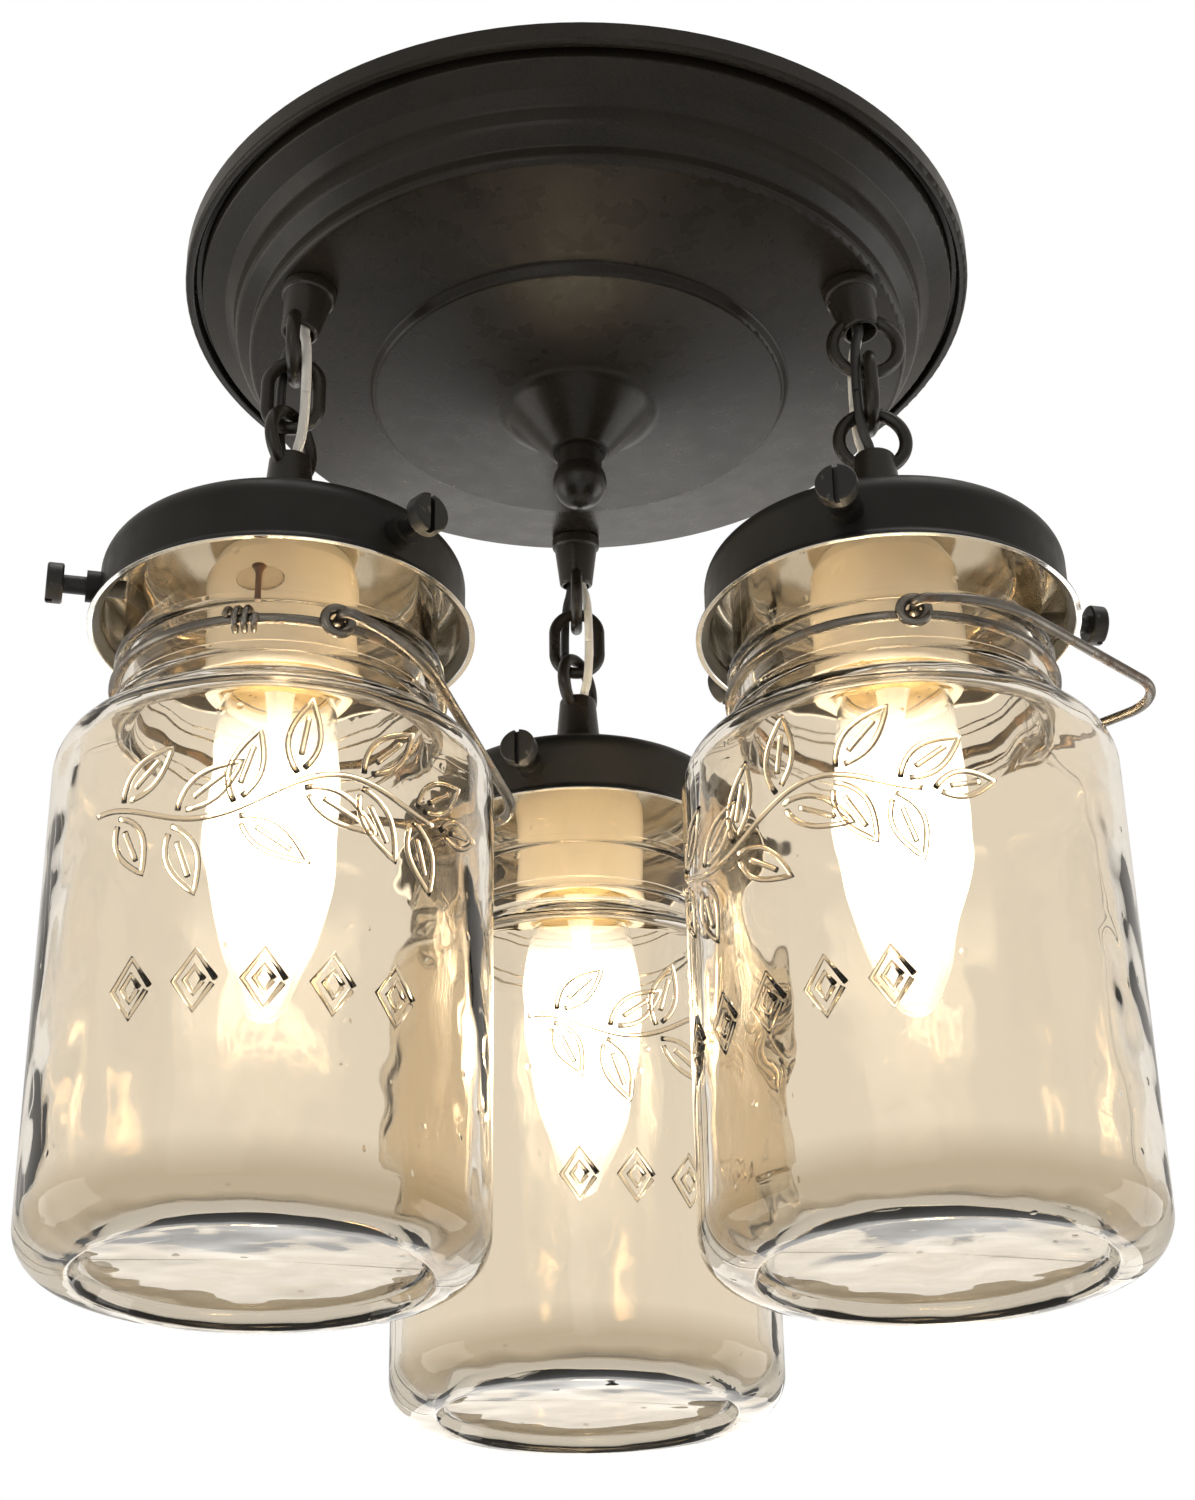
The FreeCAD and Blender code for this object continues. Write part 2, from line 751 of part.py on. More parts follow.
def socket_contacts(pendant):
    """Screw shell with the ear that takes the neutral wire, and the centre contact."""
    outer = socket_bore - wire_slack
    low = holder_inside_z - socket_height + shell_recess
    shell = turned([
        (flange_hole, hub_z, 0),
        (outer, hub_z, 2 * shell_thickness),
        (outer, low, 0),
        (outer - shell_thickness, low, 0),
        (outer - shell_thickness, hub_z - shell_thickness, shell_thickness),
        (flange_hole, hub_z - shell_thickness, 0),
    ])
    ear = Part.makeBox(flange_hole + shell_thickness, ear_width, shell_thickness,
                       vector(wire_slack, -ear_width / 2, hub_z - shell_thickness))
    apart = spoke(pendant["neutral"], 1, 0) - spoke(pendant["hot"], 1, 0)
    ear.rotate(vector(0, 0, 0), vector(0, 0, 1), math.degrees(math.atan2(apart.y, apart.x)))
    contact = Part.makeCylinder(contact_radius, contact_thickness, vector(0, 0, contact_z))
    pieces = Part.makeCompound([shell.fuse(ear).removeSplitter(), contact])
    return at_pendant(pieces, pendant["place"])


def bulb_base(pendant):
    cone_z = base_top_z - base_tip_height - base_cone_height
    body = turned([
        (0, base_top_z, 0),
        (base_tip_radius, base_top_z, base_round),
        (base_tip_radius, base_top_z - base_tip_height, 0),
        (base_cone_radius, cone_z, base_round),
        (base_radius, cone_z - base_crown_height, base_round),
        (base_radius, base_bottom_z, 0),
        (0, base_bottom_z, 0),
    ])
    return at_pendant(body, pendant["place"])


def bulb_body(gap):
    """Solid bulb about Z, moved in by a gap: neck, shoulder, belly, taper and tip."""
    side = [
        vector(bulb_neck_radius - gap, 0, base_bottom_z),
        vector(bulb_shoulder_radius - gap, 0, base_bottom_z - bulb_shoulder_drop),
        vector(bulb_radius - gap, 0, base_bottom_z - bulb_belly),
        vector(bulb_taper_radius - gap, 0, base_bottom_z - bulb_taper_drop),
        vector(bulb_tip_radius - gap / 2, 0, bulb_tip_z + bulb_tip_height + gap),
        vector(0, 0, bulb_tip_z + gap),
    ]
    edges = [
        Part.Arc(*side[0:3]).toShape(),
        Part.Arc(*side[2:5]).toShape(),
        Part.LineSegment(side[4], side[5]).toShape(),
        Part.LineSegment(side[5], vector(0, 0, base_bottom_z)).toShape(),
        Part.LineSegment(vector(0, 0, base_bottom_z), side[0]).toShape(),
    ]
    return Part.Face(Part.Wire(edges)).revolve(vector(0, 0, 0), vector(0, 0, 1), 360)


def bulb_glass(pendant):
    return at_pendant(bulb_body(0).cut(bulb_body(bulb_wall)), pendant["place"])


def bulb_filament(pendant):
    """Glass mount with two supports and the arch of the filament between them."""
    mount_z = base_bottom_z - mount_length
    end_z = mount_z - filament_length
    waist_z = base_bottom_z - mount_length / 2
    mount = Part.makeCone(mount_radius, mount_foot_radius, mount_length / 2, vector(0, 0, waist_z))
    mount = mount.fuse(Part.makeCylinder(mount_radius, mount_length / 2, vector(0, 0, mount_z)))
    half = filament_span / 2
    legs = [
        (mount_radius / 2, mount_z + mount_radius, 0),
        (half, mount_z - filament_neck, filament_round),
        (half, end_z, filament_round),
    ]
    route = legs + [(-x, z, bend) for x, z, bend in legs[::-1]]
    arch = [vector(x, 0, z) for x, z, _ in route]
    radii = [bend for _, _, bend in route]
    coil = tube(arch, radii, filament_wire / 2, f"filament_{pendant['name']}")
    return at_pendant(mount.fuse(coil).removeSplitter(), pendant["place"])


def pendant_pieces(pendant):
    """Every piece of one pendant by its node name."""
    name = pendant["name"]
    pieces = {
        f"canopy_loop_{name}": canopy_loop(pendant),
        f"chain_link_{name}": chain_link(pendant),
        f"holder_loop_{name}": holder_loop(pendant),
        f"shade_holder_{name}": shade_holder(pendant),
        f"socket_{name}": socket(pendant),
        f"socket_contacts_{name}": socket_contacts(pendant),
        f"bulb_base_{name}": bulb_base(pendant),
        f"bulb_glass_{name}": bulb_glass(pendant),
        f"bulb_filament_{name}": bulb_filament(pendant),
        f"jar_{name}": jar(pendant),
        f"hot_wire_{name}": wire(pendant, "hot"),
        f"neutral_wire_{name}": wire(pendant, "neutral"),
    }
    for number, angle in enumerate(screw_angles(pendant), start=1):
        pieces[f"thumbscrew_{name}_{number}"] = thumbscrew(pendant, angle)
    if pendant["bail"] is not None:
        pieces[f"neck_wire_{name}"] = neck_wire(pendant)
        pieces[f"bail_{name}"] = bail(pendant)
    return pieces


def all_pieces():
    pieces = {
        "canopy_pan": canopy_pan(),
        "mounting_bar": mounting_bar(),
        "center_stud": center_stud(),
        "stud_nut": hexagon(stud_nut_flats, stud_nut_height, stud_radius + running, -bar_thickness),
        "finial": finial(),
        "ground_screw": ground_screw(),
        "loop_nuts": Part.makeCompound([loop_nut(pendant) for pendant in PENDANTS]),
        "hot_wire_nut": wire_nut("hot"),
        "neutral_wire_nut": wire_nut("neutral"),
    }
    for pendant in PENDANTS:
        pieces.update(pendant_pieces(pendant))
    return pieces


os.makedirs("parts", exist_ok=True)
for node, shape in all_pieces().items():
    shape.exportStep(f"parts/{node}.step")
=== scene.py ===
import bpy
import math
from mathutils import Matrix, Vector


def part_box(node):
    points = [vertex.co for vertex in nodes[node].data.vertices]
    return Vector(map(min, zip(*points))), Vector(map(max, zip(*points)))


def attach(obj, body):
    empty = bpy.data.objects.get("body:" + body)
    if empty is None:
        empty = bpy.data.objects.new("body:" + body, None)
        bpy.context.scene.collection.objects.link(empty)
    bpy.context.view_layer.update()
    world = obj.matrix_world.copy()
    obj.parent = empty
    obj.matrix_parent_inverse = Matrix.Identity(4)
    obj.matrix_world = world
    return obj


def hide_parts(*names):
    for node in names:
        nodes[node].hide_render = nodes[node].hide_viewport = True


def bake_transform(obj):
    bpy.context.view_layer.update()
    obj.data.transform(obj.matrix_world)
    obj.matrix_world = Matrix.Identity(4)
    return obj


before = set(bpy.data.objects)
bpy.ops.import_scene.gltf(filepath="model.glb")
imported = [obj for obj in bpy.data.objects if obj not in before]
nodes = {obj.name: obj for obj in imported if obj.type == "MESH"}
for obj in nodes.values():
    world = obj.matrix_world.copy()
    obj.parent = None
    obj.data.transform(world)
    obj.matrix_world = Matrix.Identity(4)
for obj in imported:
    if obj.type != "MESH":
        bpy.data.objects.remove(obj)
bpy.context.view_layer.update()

# Looks of the ceiling light with three jars. Metres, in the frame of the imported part.

scene = bpy.context.scene
scene.view_settings.view_transform = "Standard"

PENDANTS = {"left": 210, "right": 330, "back": 90}


def axis_of(name):
    """Where a pendant's upright axis stands."""
    low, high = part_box(f"socket_{name}")
    return Vector(((low.x + high.x) / 2, (low.y + high.y) / 2, 0))


# Shader building

class Shader:
    """A material's nodes, with short ways to add and link them."""

    def __init__(self, name):
        self.material = bpy.data.materials.new(name)
        self.material.use_nodes = True
        self.tree = self.material.node_tree
        self.tree.nodes.clear()
        self.place = self.add("TexCoord").outputs["Object"]

    def add(self, kind, inputs=None, **settings):
        node = self.tree.nodes.new("ShaderNode" + kind)
        for key, value in settings.items():
            setattr(node, key, value)
        for key, value in (inputs or {}).items():
            self.feed(node.inputs[key], value)
        return node

    def feed(self, socket, value):
        if isinstance(value, bpy.types.NodeSocket):
            self.tree.links.new(value, socket)
        elif isinstance(value, tuple) and len(value) == 3 and socket.type == "RGBA":
            socket.default_value = (*value, 1)
        else:
            socket.default_value = value

    def math(self, operation, *values, clamp=False):
        node = self.add("Math", dict(enumerate(values)), operation=operation, use_clamp=clamp)
        return node.outputs[0]

    def vector(self, operation, *values):
        node = self.add("VectorMath", dict(enumerate(values)), operation=operation)
        return node.outputs["Value" if operation in ("LENGTH", "DOT_PRODUCT", "DISTANCE") else "Vector"]

    def split(self, vector):
        node = self.add("SeparateXYZ", {0: vector})
        return node.outputs[0], node.outputs[1], node.outputs[2]

    def join(self, x, y, z):
        return self.add("CombineXYZ", {0: x, 1: y, 2: z}).outputs[0]

    def noise(self, place, scale, detail=3.0, rough=0.5):
        node = self.add("TexNoise", {"Vector": place, "Scale": scale, "Detail": detail, "Roughness": rough})
        return node.outputs["Fac"]

    def span(self, value, low, high, start=0.3, end=0.7):
        """A value between start and end as one between low and high."""
        node = self.add("MapRange", {"Value": value, "From Min": start, "From Max": end, "To Min": low,
                                     "To Max": high})
        return node.outputs["Result"]

    def ramp(self, value, *stops):
        node = self.add("ValToRGB", {"Fac": value})
        elements = node.color_ramp.elements
        while len(elements) < len(stops):
            elements.new(0.5)
        for element, (position, colour) in zip(elements, stops):
            element.position = position
            element.color = (*colour, 1)
        return node.outputs["Color"]

    def mix(self, share, first, second):
        node = self.add("Mix", data_type="RGBA")
        self.feed(node.inputs[0], share)
        self.feed(node.inputs[6], first)
        self.feed(node.inputs[7], second)
        return node.outputs[2]

    def blend(self, share, first, second):
        """A number between two others."""
        node = self.add("Mix", data_type="FLOAT")
        self.feed(node.inputs[0], share)
        self.feed(node.inputs[2], first)
        self.feed(node.inputs[3], second)
        return node.outputs[0]

    def bump(self, *layers):
        """Normal from (height, strength, depth) layers, laid one on another."""
        normal = None
        for height, strength, depth in layers:
            inputs = {"Height": height, "Strength": strength, "Distance": depth}
            if normal is not None:
                inputs["Normal"] = normal
            normal = self.add("Bump", inputs).outputs["Normal"]
        return normal

    def principled(self, **inputs):
        """Principled shader with its sockets by name, underscores for spaces."""
        return self.add("BsdfPrincipled", {key.replace("_", " "): value for key, value in inputs.items()})

    def done(self, surface):
        output = self.add("OutputMaterial")
        self.tree.links.new(surface, output.inputs["Surface"])
        return self.material

    def glass(self, surface, tint):
        """Ends a glass material that lets the light of lamps through."""
        shadow = self.add("LightPath").outputs["Is Shadow Ray"]
        clear = self.add("BsdfTransparent", {"Color": tint}).outputs[0]
        both = self.add("MixShader", {0: shadow, 1: surface, 2: clear})
        return self.done(both.outputs[0])

    def radius(self, axis):
        """Distance from an upright axis."""
        x, y, _ = self.split(self.vector("SUBTRACT", self.place, tuple(axis)))
        return self.vector("LENGTH", self.join(x, y, 0.0))


# Materials

def bronze(name, spun=False):
    s = Shader(name)
    clouds = s.noise(s.place, 38, 4)
    grain = s.noise(s.place, 2400, 2)
    peel = s.noise(s.place, 520, 3)
    colour = s.ramp(clouds, (0.3, (0.012, 0.010, 0.0075)), (0.7, (0.021, 0.0175, 0.0135)))
    colour = s.mix(s.span(grain, 0.0, 0.35, 0.45, 0.75), colour, (0.050, 0.042, 0.034))
    rough = s.span(s.noise(s.place, 140, 3), 0.24, 0.34)
    layers = [(grain, 0.35, 0.00005), (peel, 0.2, 0.0001)]
    if spun:
        x, y, z = s.split(s.place)
        out = s.vector("LENGTH", s.join(x, y, 0.0))
        lines = s.noise(s.join(s.math("MULTIPLY", out, 1500.0), s.math("MULTIPLY", z, 1500.0), 0.0), 1, 2)
        layers.append((lines, 0.12, 0.00005))
    shader = s.principled(Base_Color=colour, Roughness=rough, Specular_IOR_Level=0.17 if spun else 0.3,
                          Normal=s.bump(*layers))
    return s.done(shader.outputs[0])


def black_metal(name):
    s = Shader(name)
    grain = s.noise(s.place, 2100, 2)
    colour = s.ramp(s.noise(s.place, 60, 4), (0.3, (0.008, 0.008, 0.0075)), (0.7, (0.016, 0.015, 0.014)))
    worn = s.span(s.noise(s.place, 420, 4), 0.0, 1.0, 0.64, 0.74)
    colour = s.mix(worn, colour, (0.10, 0.094, 0.084))
    rough = s.span(s.noise(s.place, 230, 3), 0.3, 0.44)
    shader = s.principled(Base_Color=colour, Roughness=rough, Specular_IOR_Level=0.3,
                          Normal=s.bump((grain, 0.3, 0.00005)))
    return s.done(shader.outputs[0])


HOLDER_RADIUS, HOLDER_SHOULDER, SHEET = 0.0413, 0.006, 0.001
LIP_HEIGHT, EDGE_HEIGHT = 0.0022, 0.0002


def holder_metal(name):
    """Satin black outside and at the lip, bright plated inside, with a thin bright line where the rim is worn."""
    s = Shader(f"holder_{name}")
    low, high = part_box(f"shade_holder_{name}")
    out = s.radius(axis_of(name))
    _, _, z = s.split(s.place)
    beyond = s.math("MAXIMUM", s.math("SUBTRACT", out, HOLDER_RADIUS - HOLDER_SHOULDER), 0.0)
    above = s.math("MAXIMUM", s.math("SUBTRACT", z, high.z - HOLDER_SHOULDER), 0.0)
    inside = s.math("LESS_THAN", s.vector("LENGTH", s.join(beyond, above, 0.0)), HOLDER_SHOULDER - SHEET / 2)
    inside = s.math("MULTIPLY", inside, s.math("GREATER_THAN", z, low.z + LIP_HEIGHT))
    edge = s.math("LESS_THAN", s.math("ABSOLUTE", s.math("SUBTRACT", z, low.z)), EDGE_HEIGHT)
    bright = s.math("MAXIMUM", inside, edge)
    grain = s.noise(s.place, 1900, 2)
    black = s.ramp(s.noise(s.place, 50, 4), (0.3, (0.010, 0.0098, 0.0085)), (0.7, (0.020, 0.019, 0.017)))
    plate = s.ramp(s.noise(s.place, 70, 3), (0.3, (0.68, 0.66, 0.61)), (0.7, (0.79, 0.77, 0.73)))
    lines = s.noise(s.join(s.math("MULTIPLY", z, 2600.0), s.math("MULTIPLY", out, 900.0), 0.0), 1, 2)
    rough = s.blend(bright, s.span(s.noise(s.place, 210, 3), 0.34, 0.46), s.span(lines, 0.08, 0.2))
    shader = s.principled(Base_Color=s.mix(bright, black, plate), Roughness=rough,
                          Metallic=bright, Specular_IOR_Level=0.17,
                          Normal=s.bump((grain, 0.22, 0.00004), (lines, 0.06, 0.00003)))
    return s.done(shader.outputs[0])


def zinc_steel(name):
    s = Shader(name)
    x, y, z = s.split(s.place)
    brushed = s.noise(s.join(s.math("MULTIPLY", x, 60.0), s.math("MULTIPLY", y, 1800.0),
                             s.math("MULTIPLY", z, 1800.0)), 1, 3)
    spangle = s.add("TexVoronoi", {"Vector": s.place, "Scale": 260.0}).outputs["Distance"]
    colour = s.ramp(s.noise(s.place, 90, 4), (0.3, (0.40, 0.40, 0.38)), (0.7, (0.58, 0.58, 0.55)))
    colour = s.mix(s.span(spangle, 0.0, 0.4, 0.2, 0.7), colour, (0.66, 0.64, 0.56))
    shader = s.principled(Base_Color=colour, Metallic=1.0, Roughness=s.span(brushed, 0.24, 0.42),
                          Normal=s.bump((brushed, 0.12, 0.00005)))
    return s.done(shader.outputs[0])


def ground_green(name):
    s = Shader(name)
    colour = s.ramp(s.noise(s.place, 300, 4), (0.3, (0.03, 0.16, 0.06)), (0.7, (0.06, 0.27, 0.11)))
    shader = s.principled(Base_Color=colour, Metallic=0.7, Roughness=s.span(s.noise(s.place, 700), 0.28, 0.42))
    return s.done(shader.outputs[0])


def nut_plastic(name):
    """Moulded cap with ribs along it."""
    s = Shader(name)
    low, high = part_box(name)
    x, _, z = s.split(s.vector("SUBTRACT", s.place, tuple((low + high) / 2)))
    ribs = s.math("SINE", s.math("MULTIPLY", s.math("ARCTAN2", z, x), 18.0))
    colour = s.ramp(s.noise(s.place, 200, 3), (0.3, (0.62, 0.27, 0.03)), (0.7, (0.75, 0.36, 0.05)))
    shader = s.principled(Base_Color=colour, Roughness=s.span(s.noise(s.place, 900), 0.4, 0.55),
                          Normal=s.bump((ribs, 0.6, 0.0004)))
    return s.done(shader.outputs[0])


def porcelain(name):
    s = Shader(name)
    colour = s.ramp(s.noise(s.place, 55, 4), (0.3, (0.85, 0.83, 0.78)), (0.7, (0.91, 0.90, 0.86)))
    speck = s.span(s.noise(s.place, 1500, 2), 0.0, 0.25, 0.66, 0.74)
    colour = s.mix(speck, colour, (0.55, 0.47, 0.36))
    shader = s.principled(Base_Color=colour, Roughness=s.span(s.noise(s.place, 160), 0.16, 0.28), Coat_Weight=0.3,
                          Coat_Roughness=0.1, Normal=s.bump((s.noise(s.place, 180, 2), 0.08, 0.0003)))
    return s.done(shader.outputs[0])


THREAD_PITCH, THREAD_DEPTH = 0.0036, 0.0006


def brass(name, threads=False):
    s = Shader(name)
    _, _, z = s.split(s.place)
    colour = s.ramp(s.noise(s.place, 120, 4), (0.3, (0.50, 0.34, 0.12)), (0.7, (0.72, 0.54, 0.24)))
    layers = [(s.noise(s.place, 1300, 2), 0.1, 0.00005)]
    if threads:
        turns = s.math("SINE", s.math("MULTIPLY", z, 2 * math.pi / THREAD_PITCH))
        layers.append((turns, 0.9, THREAD_DEPTH))
    shader = s.principled(Base_Color=colour, Metallic=1.0, Roughness=s.span(s.noise(s.place, 340), 0.24, 0.42),
                          Normal=s.bump(*layers))
    return s.done(shader.outputs[0])


FOOT_THICK, FOOT_THIN = 0.008, 0.016
SEAM_TURN = math.radians(-8)


def jar_glass(name):
    """Old pressed glass: a warm tint, slow waves, fine ripples, small seeds and two mould seams."""
    s = Shader(f"jar_glass_{name}")
    x, y, z = s.split(s.vector("SUBTRACT", s.place, tuple(axis_of(name))))
    waves = s.noise(s.place, 24, 2)
    ripples = s.noise(s.join(s.math("MULTIPLY", x, 70.0), s.math("MULTIPLY", y, 70.0),
                             s.math("MULTIPLY", z, 26.0)), 1, 1)
    seeds = s.add("TexVoronoi", {"Vector": s.place, "Scale": 95.0}).outputs["Distance"]
    seeds = s.span(seeds, 1.0, 0.0, 0.03, 0.09)
    turn = s.math("ARCTAN2", y, x)
    seam = s.math("ABSOLUTE", s.math("SINE", s.math("ADD", turn, SEAM_TURN)))
    seam = s.span(seam, 1.0, 0.0, 0.004, 0.012)
    normal = s.bump((waves, 0.8, 0.0034), (ripples, 0.55, 0.0011), (seeds, 0.3, 0.0004), (seam, 0.5, 0.0003))
    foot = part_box(f"jar_{name}")[0].z
    thick = s.span(z, 1.0, 0.0, foot + FOOT_THICK, foot + FOOT_THIN)
    tint = s.mix(thick, (0.87, 0.80, 0.69), (0.58, 0.51, 0.40))
    shader = s.principled(Base_Color=tint, Roughness=s.span(s.noise(s.place, 30, 3), 0.0, 0.05),
                          Transmission_Weight=1.0, IOR=1.35, Specular_Tint=(1.0, 0.93, 0.82), Normal=normal)
    return s.glass(shader.outputs[0], (0.9, 0.85, 0.77))


BULB_GLOW, FILAMENT_GLOW, STRAND_GLOW = 1.5, 120.0, 270.0


def bulb_glass(name):
    """Clear glass full of light, dim at the neck and softer at the tip."""
    s = Shader(f"bulb_glass_{name}")
    low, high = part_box(f"bulb_glass_{name}")
    _, _, z = s.split(s.place)
    along = s.add("MapRange", {"Value": z, "From Min": high.z, "From Max": low.z})
    dim = [(0.0, 0.0), (0.12, 0.03), (0.24, 0.45), (0.38, 1.0), (0.54, 0.9), (0.72, 0.3), (0.9, 0.12), (1.0, 0.2)]
    level = s.ramp(along.outputs[0], *[(at, (value,) * 3) for at, value in dim])
    mottle = s.span(s.noise(s.place, 70, 3), 0.9, 1.0)
    light = s.math("MULTIPLY", s.math("MULTIPLY", level, BULB_GLOW), mottle)
    shader = s.principled(Base_Color=(0.98, 0.96, 0.92), Roughness=0.0, Transmission_Weight=1.0, IOR=1.45,
                          Emission_Color=(1.0, 0.93, 0.80), Emission_Strength=light,
                          Normal=s.bump((s.noise(s.place, 40, 2), 0.1, 0.0004)))
    s.material.cycles.emission_sampling = "NONE"
    return s.glass(shader.outputs[0], (0.97, 0.95, 0.9))


GLOW_TOP, GLOW_END = 0.0258, 0.0264


def filament(name):
    """Pale glass mount, with the glowing wire below it."""
    s = Shader(f"filament_{name}")
    low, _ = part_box(f"bulb_filament_{name}")
    _, _, z = s.split(s.place)
    glow = s.span(z, 1.0, 0.0, low.z + GLOW_TOP, low.z + GLOW_END)
    flicker = s.span(s.noise(s.place, 300, 2), 0.85, 1.0)
    colour = s.mix(glow, (0.75, 0.74, 0.7), (1.0, 0.75, 0.4))
    shader = s.principled(Base_Color=colour, Roughness=s.span(s.noise(s.place, 500), 0.2, 0.35),
                          Emission_Color=(1.0, 0.82, 0.58),
                          Emission_Strength=s.math("MULTIPLY", s.math("MULTIPLY", glow, flicker), FILAMENT_GLOW))
    s.material.cycles.emission_sampling = "NONE"
    return s.done(shader.outputs[0])


def glowing_wire(name):
    """The fine wire that gives the bulbs' light."""
    s = Shader(name)
    colour = s.ramp(s.noise(s.place, 900, 2), (0.3, (0.55, 0.42, 0.28)), (0.7, (0.8, 0.62, 0.4)))
    shader = s.principled(Base_Color=colour, Roughness=s.span(s.noise(s.place, 500), 0.3, 0.5),
                          Emission_Color=(1.0, 0.94, 0.83), Emission_Strength=STRAND_GLOW)
    s.material.cycles.emission_sampling = "FRONT_BACK"
    return s.done(shader.outputs[0])


def aged_wire(name):
    """Drawn steel wire gone dull, with brown spots."""
    s = Shader(name)
    rust = s.span(s.noise(s.place, 130, 5, 0.6), 0.0, 1.0, 0.54, 0.68)
    steel = s.ramp(s.noise(s.place, 70, 4), (0.3, (0.075, 0.068, 0.058)), (0.7, (0.19, 0.172, 0.148)))
    colour = s.mix(rust, steel, (0.085, 0.045, 0.02))
    shader = s.principled(Base_Color=colour, Metallic=s.blend(rust, 0.9, 0.1), Roughness=s.blend(rust, 0.26, 0.6),
                          Normal=s.bump((s.noise(s.place, 1100, 3), 0.3, 0.00008)))
    return s.done(shader.outputs[0])


def insulation(name, dark, light):
    s = Shader(name)
    colour = s.ramp(s.noise(s.place, 210, 3), (0.3, dark), (0.7, light))
    shader = s.principled(Base_Color=colour, Roughness=s.span(s.noise(s.place, 800), 0.4, 0.55),
                          Normal=s.bump((s.noise(s.place, 1600, 2), 0.2, 0.00005)))
    return s.done(shader.outputs[0])


def paint(node, material):
    nodes[node].data.materials.clear()
    nodes[node].data.materials.append(material)


dark_bronze = bronze("bronze")
steel = zinc_steel("zinc_steel")
black = black_metal("black_metal")
white_ceramic = porcelain("porcelain")
shell_brass = brass("brass")
base_brass = brass("threaded_brass", threads=True)
wire_steel = aged_wire("bail_steel")
black_sheath = insulation("wire_black", (0.012, 0.012, 0.012), (0.022, 0.021, 0.02))
white_sheath = insulation("wire_white", (0.74, 0.72, 0.67), (0.84, 0.82, 0.77))

paint("canopy_pan", bronze("spun_bronze", spun=True))
paint("finial", dark_bronze)
for node in ("mounting_bar", "center_stud", "stud_nut", "loop_nuts"):
    paint(node, steel)
paint("ground_screw", ground_green("ground_green"))
for node in ("hot_wire_nut", "neutral_wire_nut"):
    paint(node, nut_plastic(node))
for name in PENDANTS:
    for node in ("canopy_loop", "chain_link", "holder_loop"):
        paint(f"{node}_{name}", dark_bronze)
    paint(f"shade_holder_{name}", holder_metal(name))
    for number in (1, 2, 3):
        paint(f"thumbscrew_{name}_{number}", black)
    paint(f"socket_{name}", white_ceramic)
    paint(f"socket_contacts_{name}", shell_brass)
    paint(f"bulb_base_{name}", base_brass)
    paint(f"bulb_glass_{name}", bulb_glass(name))
    paint(f"bulb_filament_{name}", filament(name))
    paint(f"jar_{name}", jar_glass(name))
for name in ("left", "right"):
    paint(f"neck_wire_{name}", wire_steel)
    paint(f"bail_{name}", wire_steel)


# Wires, along the routes of the part's source

TILT = math.radians(10)
SEAT_RADIUS, SEAT_Z = 0.076, -0.0269
LOOP_DROP, STEM_TOP, WIRE_RISE = 0.0145, 0.0088, 0.011
WIRE_RADIUS, WIRE_SPREAD, WIRE_SLANT, WIRE_BESIDE = 0.0012, 0.00467, 0.0058, 0.0013
CAP_TOP, HUB = -0.07778, -0.11428
NUT_X, NUT_Y, NUT_BITE, NUT_APPROACH = 0.009, -0.05, 0.01, 0.014
NUT_DEPTH = {"hot": -0.0095, "neutral": -0.017}
NUT_BUNDLE, NUT_FAN, BACK_RUN = 0.0015, 0.0036, (0.014, 0.02)
MEETING_Z, UPPER_BEND, LOWER_BEND = -0.061, (-0.047, -0.0598), (-0.0622, -0.0755)
WIRE_SIDES = 16
WIRE_TURNS = {"left": {"hot": 135, "neutral": -45}, "right": {"hot": -135, "neutral": 135},
              "back": {"hot": 135, "neutral": -45}}


def spoke(angle, radius, z=0.0):
    turn = math.radians(angle)
    return Vector((radius * math.cos(turn), radius * math.sin(turn), z))


def wire_route(name, kind):
    """Points from the wire nut through the canopy loop, beside the chain and down to the socket."""
    place = PENDANTS[name]
    axis = axis_of(name)
    down = spoke(place, math.sin(TILT), -math.cos(TILT))
    seat = spoke(place, SEAT_RADIUS, SEAT_Z)
    aside = spoke(WIRE_TURNS[name][kind], WIRE_SPREAD)
    other = spoke(WIRE_TURNS[name]["neutral" if kind == "hot" else "hot"], WIRE_SPREAD)
    apart = (aside - other).normalized()
    beside = apart * WIRE_BESIDE
    over_stem = seat - down * (STEM_TOP + WIRE_RISE) + beside
    cup_end = seat + down * LOOP_DROP + beside
    side = -1 if kind == "hot" else 1
    bundle = spoke(place, NUT_BUNDLE)
    in_nut = Vector((side * NUT_X + bundle.x, NUT_Y - NUT_BITE, NUT_DEPTH[kind] + bundle.y))
    points = [in_nut, Vector((in_nut.x, NUT_Y + NUT_APPROACH + NUT_FAN * apart.y, in_nut.z))]
    if name == "back":
        points.append(Vector((side * BACK_RUN[0], BACK_RUN[1], over_stem.z)))
    points += [
        over_stem,
        cup_end,
        axis + aside + Vector((0, 0, cup_end.z - WIRE_SLANT)),
        axis + aside + Vector((0, 0, CAP_TOP + WIRE_SLANT)),
        axis + beside + Vector((0, 0, CAP_TOP)),
        axis + beside + Vector((0, 0, HUB)),
    ]
    return points


def smooth_line(name, points):
    """Points read from a NURBS spline through a route."""
    curve = bpy.data.curves.new(name, "CURVE")
    curve.dimensions = "3D"
    curve.resolution_u = 16
    spline = curve.splines.new("NURBS")
    spline.points.add(len(points) - 1)
    for point, place in zip(spline.points, points):
        point.co = (*place, 1)
    spline.order_u = 3
    spline.use_endpoint_u = True
    holder = bpy.data.objects.new(name, curve)
    scene.collection.objects.link(holder)
    bpy.context.view_layer.update()
    mesh = bpy.data.meshes.new_from_object(holder.evaluated_get(bpy.context.evaluated_depsgraph_get()))
    line = [vertex.co.copy() for vertex in mesh.vertices]
    bpy.data.meshes.remove(mesh)
    bpy.data.objects.remove(holder)
    bpy.data.curves.remove(curve)
    return line


